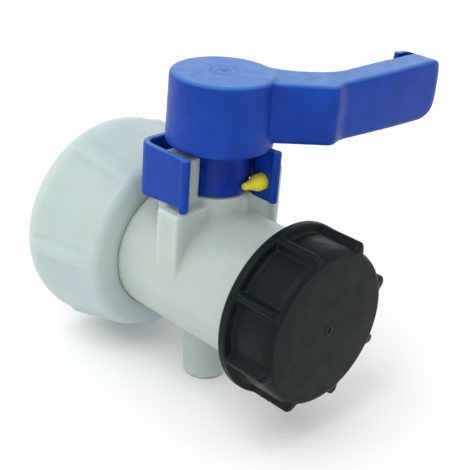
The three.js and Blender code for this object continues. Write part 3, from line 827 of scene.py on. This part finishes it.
class VALVE_OT_pin(Operator):
    """Safety pin: a stepped cone with a flange outside the clip's arm."""

    bl_idname = "valve.pin"
    bl_label = "Safety pin"

    def execute(self, context):
        finish = context.scene.valve_finish
        tip, end = PIN_LOW[1], PIN_HIGH[1]
        flange_r = (PIN_HIGH[0] - PIN_LOW[0]) / 2
        shank = flange_r - PIN_SHANK
        flange = end - PIN_FLANGE
        profile = rounded(
            [[end, 0], [end, flange_r], [flange, flange_r], [flange, shank], [tip + 8.0, shank],
             [tip + 6.3, shank - 0.6], [tip + 4.6, 2.3], [tip + 2.5, 1.75], [tip + 0.7, 1.55],
             [tip, 1.0], [tip, 0]],
            [0, 0.7, 0.3, 0.2, 0.7, 0.8, 0.8, 0.8, 0.5, 0.4, 0],
        )
        centre = ((PIN_LOW[0] + PIN_HIGH[0]) / 2, 0, (PIN_LOW[2] + PIN_HIGH[2]) / 2)
        pin = make_object("safety_pin_shell", turned(profile, Y_AXIS, centre, 64, closed=False))
        yellow = moulded_plastic("yellow plastic", finish.yellow, 0.42, 0.3, contrast=0.12, scuffs=0.1)
        place(pin, "pin", "pin_yellow", yellow, "safety_pin")
        return {"FINISHED"}


# ------------------------------------------------------------------ outlet cap
class VALVE_OT_cap(Operator):
    """Outlet cap: flanged shell with eight grip ribs, rounded crown, gate mark and inner thread."""

    bl_idname = "valve.cap"
    bl_label = "Outlet cap"

    def execute(self, context):
        shape, finish = context.scene.valve_shape, context.scene.valve_finish
        back, front = CAP_LOW[0], CAP_HIGH[0]
        flange_r = CAP_HIGH[1]
        flange_end = back + 3.6
        wall, root = mm(shape.cap_wall), 30.4
        inside = front - 3.0
        # Each row: along, radius, weight of the ribs, weight of the thread.
        outline = rounded(
            [
                [front - 0.45, 0, 0, 0], [front - 0.45, 0.9, 0, 0], [front - 0.05, 1.3, 0, 0],
                [front - 0.05, 2.2, 0, 0], [front - 0.2, 2.6, 0, 0], [front - 0.2, 24.0, 0, 0],
                [front - 0.5, 32.0, 0.6, 0], [front - 3.2, wall - 0.1, 1, 0],
                [flange_end + 0.9, wall, 1, 0], [flange_end, flange_r, 0, 0], [back, flange_r, 0, 0],
                [back, root + 0.8, 0, 0], [back + 1.0, root, 0, 0], [back + 5.6, root, 0, 0],
                [back + 7.0, root, 0, 1], [front - 8.4, root, 0, 1], [front - 7.0, root, 0, 0],
                [inside, root, 0, 0], [inside, 0, 0, 0],
            ],
            [0, 0.2, 0.2, 0.2, 0.2, 4, 1.6, 1.4, 1.2, 0.7, 0.7, 0.3, 0.3, 0, 0, 0, 0, 0.5, 0],
        )
        rib_r, nub = flange_r - 0.2, 2.2
        rib_end = front - 0.9

        def relief(along, angle, radius, weights):
            """Ribs rise from the wall to their crest and end in a quarter circle, sqrt(1 - t^2), at the
            front; inside, the thread's ridge comes off the radius."""
            fade = np.clip((along - rib_end + nub) / nub, 0, 1)
            crest = radius + (rib_r - radius) * np.sqrt(np.clip(1 - fade**2, 0, 1))
            phase, width = math.radians(17), mm(shape.cap_rib)
            ribs = rib_wave(angle, wall, shape.cap_ribs, phase, width, 1.3)
            on_wall = (weights[:, 0] > 0) & (along > flange_end)
            ridge = thread_ridge(along, angle, back + 7.2, mm(shape.pitch))
            radius = np.where(on_wall, radius + np.maximum(crest - radius, 0) * ribs, radius)
            return radius - mm(shape.thread) * ridge * weights[:, 1]

        fine = resampled(outline, 0.45, closed=False)
        cap = make_object("outlet_cap_shell", turned(fine, X_AXIS, (0, 0, 0), 440, relief, closed=False))
        black = moulded_plastic("black plastic", finish.black, 0.42, 0.35, contrast=0.18, scuffs=0.03,
                                gloss=0.12)
        place(cap, "cap", "cap_black", black, "outlet_cap", sharp=75)
        return {"FINISHED"}


# ------------------------------------------------------------------ disc and gaskets
def washer(node, edge):
    """A flat ring about X with rounded edges, in the box and bore of a CAD ring."""
    low, high = corners_of(node)
    vertices = np.array([v.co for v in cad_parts[node].data.vertices]) / MM
    inner = np.hypot(vertices[:, 1], vertices[:, 2]).min()
    ring = [[low[0], inner], [low[0], high[1]], [high[0], high[1]], [high[0], inner]]
    return turned(rounded(ring, edge), X_AXIS, (0, 0, 0), 160)


class VALVE_OT_closure(Operator):
    """Butterfly disc with its stem hub, and the two flat gaskets."""

    bl_idname = "valve.closure"
    bl_label = "Disc and gaskets"

    def execute(self, context):
        finish = context.scene.valve_finish
        plate = turned(
            resampled(rounded([[-2.1, 0], [-2.5, 15], [-1.6, DISC_R], [1.6, DISC_R], [2.5, 15], [2.1, 0]],
                              [0, 4, 1, 1, 4, 0]), 1.0, closed=False),
            X_AXIS, (STEM_X, 0, 0), 128, closed=False,
        )
        hub_r = (DISC_HIGH[0] - DISC_LOW[0]) / 2
        tip = math.sqrt(DISC_R**2 - hub_r**2)
        hub = post(hub_r, -tip, tip, STEM_X, 0, edge=1.2, steps=96)
        disc = make_object("disc_plate", plate, hub)
        fuse(disc, 0.5, 5)
        stem_r = corners_of("stem")[1][0] - STEM_X + SEAT
        start, end, pin_r = STEM_X - hub_r - 2, STEM_X + hub_r + 2, 2.3
        hole = rounded([[start, 0], [start, pin_r], [end, pin_r], [end, 0]], 0, 2)
        cut(
            disc,
            post(stem_r, -DISC_R - 4, DISC_R + 4, STEM_X, 0, edge=0),
            turned(hole, X_AXIS, (0, 0, 0), 32, closed=False),
        )
        plastic = natural_polyethylene("disc plastic", finish.natural, 60.0)
        place(disc, "lever", "disc_plastic", plastic, "butterfly_disc")

        black = rubber("sealing rubber rings", finish.rubber)
        inlet = make_object("inlet_gasket_ring", washer("inlet_gasket", 0.6))
        place(inlet, "valve", "sealing_rubber", black, "inlet_gasket")
        outlet = make_object("cap_gasket_ring", washer("cap_gasket", 0.3))
        place(outlet, "cap_seal", "sealing_rubber", black, "cap_gasket")
        return {"FINISHED"}


class VALVE_OT_inner(Operator):
    """Finishes for the pieces inside that keep their CAD shape."""

    bl_idname = "valve.inner"
    bl_label = "Inner pieces"

    def execute(self, context):
        finish = context.scene.valve_finish
        seal = rubber("sealing rubber", finish.rubber)
        steel = drawn_steel("stainless steel", finish.steel)
        bearing = moulded_plastic("bearing plastic", finish.bearing, 0.45, 0.2, contrast=0.06)
        nylon = moulded_plastic("stem nylon", finish.nylon, 0.5, 0.3, flow=(1, 1, 0.2))
        finishes = {
            "disc_seal": seal, "stem_o_ring_upper": seal, "stem_o_ring_lower": seal,
            "disc_pin": steel, "handle_washer": steel, "handle_screw": steel,
            "stem_bush_upper": bearing, "stem_bush_lower": bearing, "thrust_washer": bearing,
            "stem": nylon,
        }
        for node, material in finishes.items():
            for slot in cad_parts[node].material_slots:
                slot.material = material
        return {"FINISHED"}


# ------------------------------------------------------------------ stage
def area_light(name, power, size, location, target):
    """A square soft light aimed at a point."""
    data = bpy.data.lights.new(name, "AREA")
    data.energy, data.size = power, size
    light = bpy.data.objects.new(name, data)
    bpy.context.scene.collection.objects.link(light)
    aim = np.array(location, float) - np.array(target, float)
    aim /= np.linalg.norm(aim)
    side = np.cross((0, 0, 1), aim)
    side /= np.linalg.norm(side)
    columns = np.stack([side, np.cross(aim, side), aim], 1)
    light.matrix_world = Matrix.Translation(location) @ Matrix(columns.tolist()).to_4x4()


class VALVE_OT_stage(Operator):
    """Pale floor, white surroundings, three soft lights and the camera."""

    bl_idname = "valve.stage"
    bl_label = "Stage"

    def execute(self, context):
        scene, stage = context.scene, context.scene.valve_stage
        ground = float(CAD_BOX[0][2])
        if stage.shadows:
            side = np.linspace(-2.5, 2.5, 9) / MM
            x, y = np.meshgrid(side, side, indexing="ij")
            level = np.stack([x, y, np.full_like(x, ground / MM)], -1)
            floor = make_object("floor", grid_shell(level, wrap_columns=False))
            n = Nodes("pale floor")
            n.link("Base Color", n.ramp(n.noise(3.0), (0.93, 0.93, 0.93, 1), (0.95, 0.95, 0.95, 1)))
            n.shader.inputs["Roughness"].default_value = 0.9
            n.shader.inputs["Specular IOR Level"].default_value = 0.1
            floor.data.materials.append(n.material)

        world = bpy.data.worlds.new("studio")
        world.use_nodes = True
        background = world.node_tree.nodes["Background"]
        background.inputs["Color"].default_value = (1, 1, 1, 1)
        background.inputs["Strength"].default_value = stage.ambient
        scene.world = world
        scene.view_settings.view_transform = "Standard"

        middle = (CAD_BOX[0] + CAD_BOX[1]) / 2
        area_light("key", stage.key, 0.5, (0.10, -0.45, 0.75), middle)
        area_light("fill", stage.fill, 0.4, (-0.6, -0.25, 0.30), middle)
        area_light("sheen", stage.sheen, 0.9, (-0.65, 0.75, 0.60), middle)

        data = bpy.data.cameras.new("camera")
        data.lens, data.sensor_width = stage.lens, 36.0
        data.clip_start, data.clip_end = 0.01, 20.0
        camera = bpy.data.objects.new("camera", data)
        scene.collection.objects.link(camera)
        az, el, roll = stage.azimuth, stage.elevation, stage.roll
        out = np.array([math.cos(el) * math.cos(az), math.cos(el) * math.sin(az), math.sin(el)])
        level = np.array([-math.sin(az), math.cos(az), 0.0])
        upright = np.cross(out, level)
        right = math.cos(roll) * level + math.sin(roll) * upright
        up = math.cos(roll) * upright - math.sin(roll) * level
        columns = np.stack([right, up, out], 1)
        camera.matrix_world = Matrix.Translation(stage.camera) @ Matrix(columns.tolist()).to_4x4()
        scene.camera = camera
        return {"FINISHED"}


# ------------------------------------------------------------------ panel and registration
OPERATORS = (
    VALVE_OT_stage, VALVE_OT_body, VALVE_OT_union_nut, VALVE_OT_handle, VALVE_OT_clip, VALVE_OT_pin,
    VALVE_OT_cap, VALVE_OT_closure, VALVE_OT_inner,
)


class VALVE_PT_panel(Panel):
    """Lists the pieces' operators and the settings they read."""

    bl_idname = "VALVE_PT_panel"
    bl_label = "Outlet valve"
    bl_space_type = "VIEW_3D"
    bl_region_type = "UI"
    bl_category = "Valve"

    def draw(self, context):
        column = self.layout.column()
        for operator in OPERATORS:
            column.operator(operator.bl_idname)
        for group in (context.scene.valve_shape, context.scene.valve_finish, context.scene.valve_stage):
            box = column.box()
            for key in group.bl_rna.properties.keys():
                if key not in {"rna_type", "name"}:
                    box.prop(group, key)


CLASSES = (ValveShape, ValveFinish, ValveStage, *OPERATORS, VALVE_PT_panel)


def register():
    for cls in CLASSES:
        bpy.utils.register_class(cls)
    bpy.types.Scene.valve_shape = PointerProperty(type=ValveShape)
    bpy.types.Scene.valve_finish = PointerProperty(type=ValveFinish)
    bpy.types.Scene.valve_stage = PointerProperty(type=ValveStage)


def unregister():
    del bpy.types.Scene.valve_stage
    del bpy.types.Scene.valve_finish
    del bpy.types.Scene.valve_shape
    for cls in reversed(CLASSES):
        bpy.utils.unregister_class(cls)


def main():
    register()
    for operator in OPERATORS:
        group, name = operator.bl_idname.split(".")
        getattr(getattr(bpy.ops, group), name)()


if __name__ == "__main__":
    main()
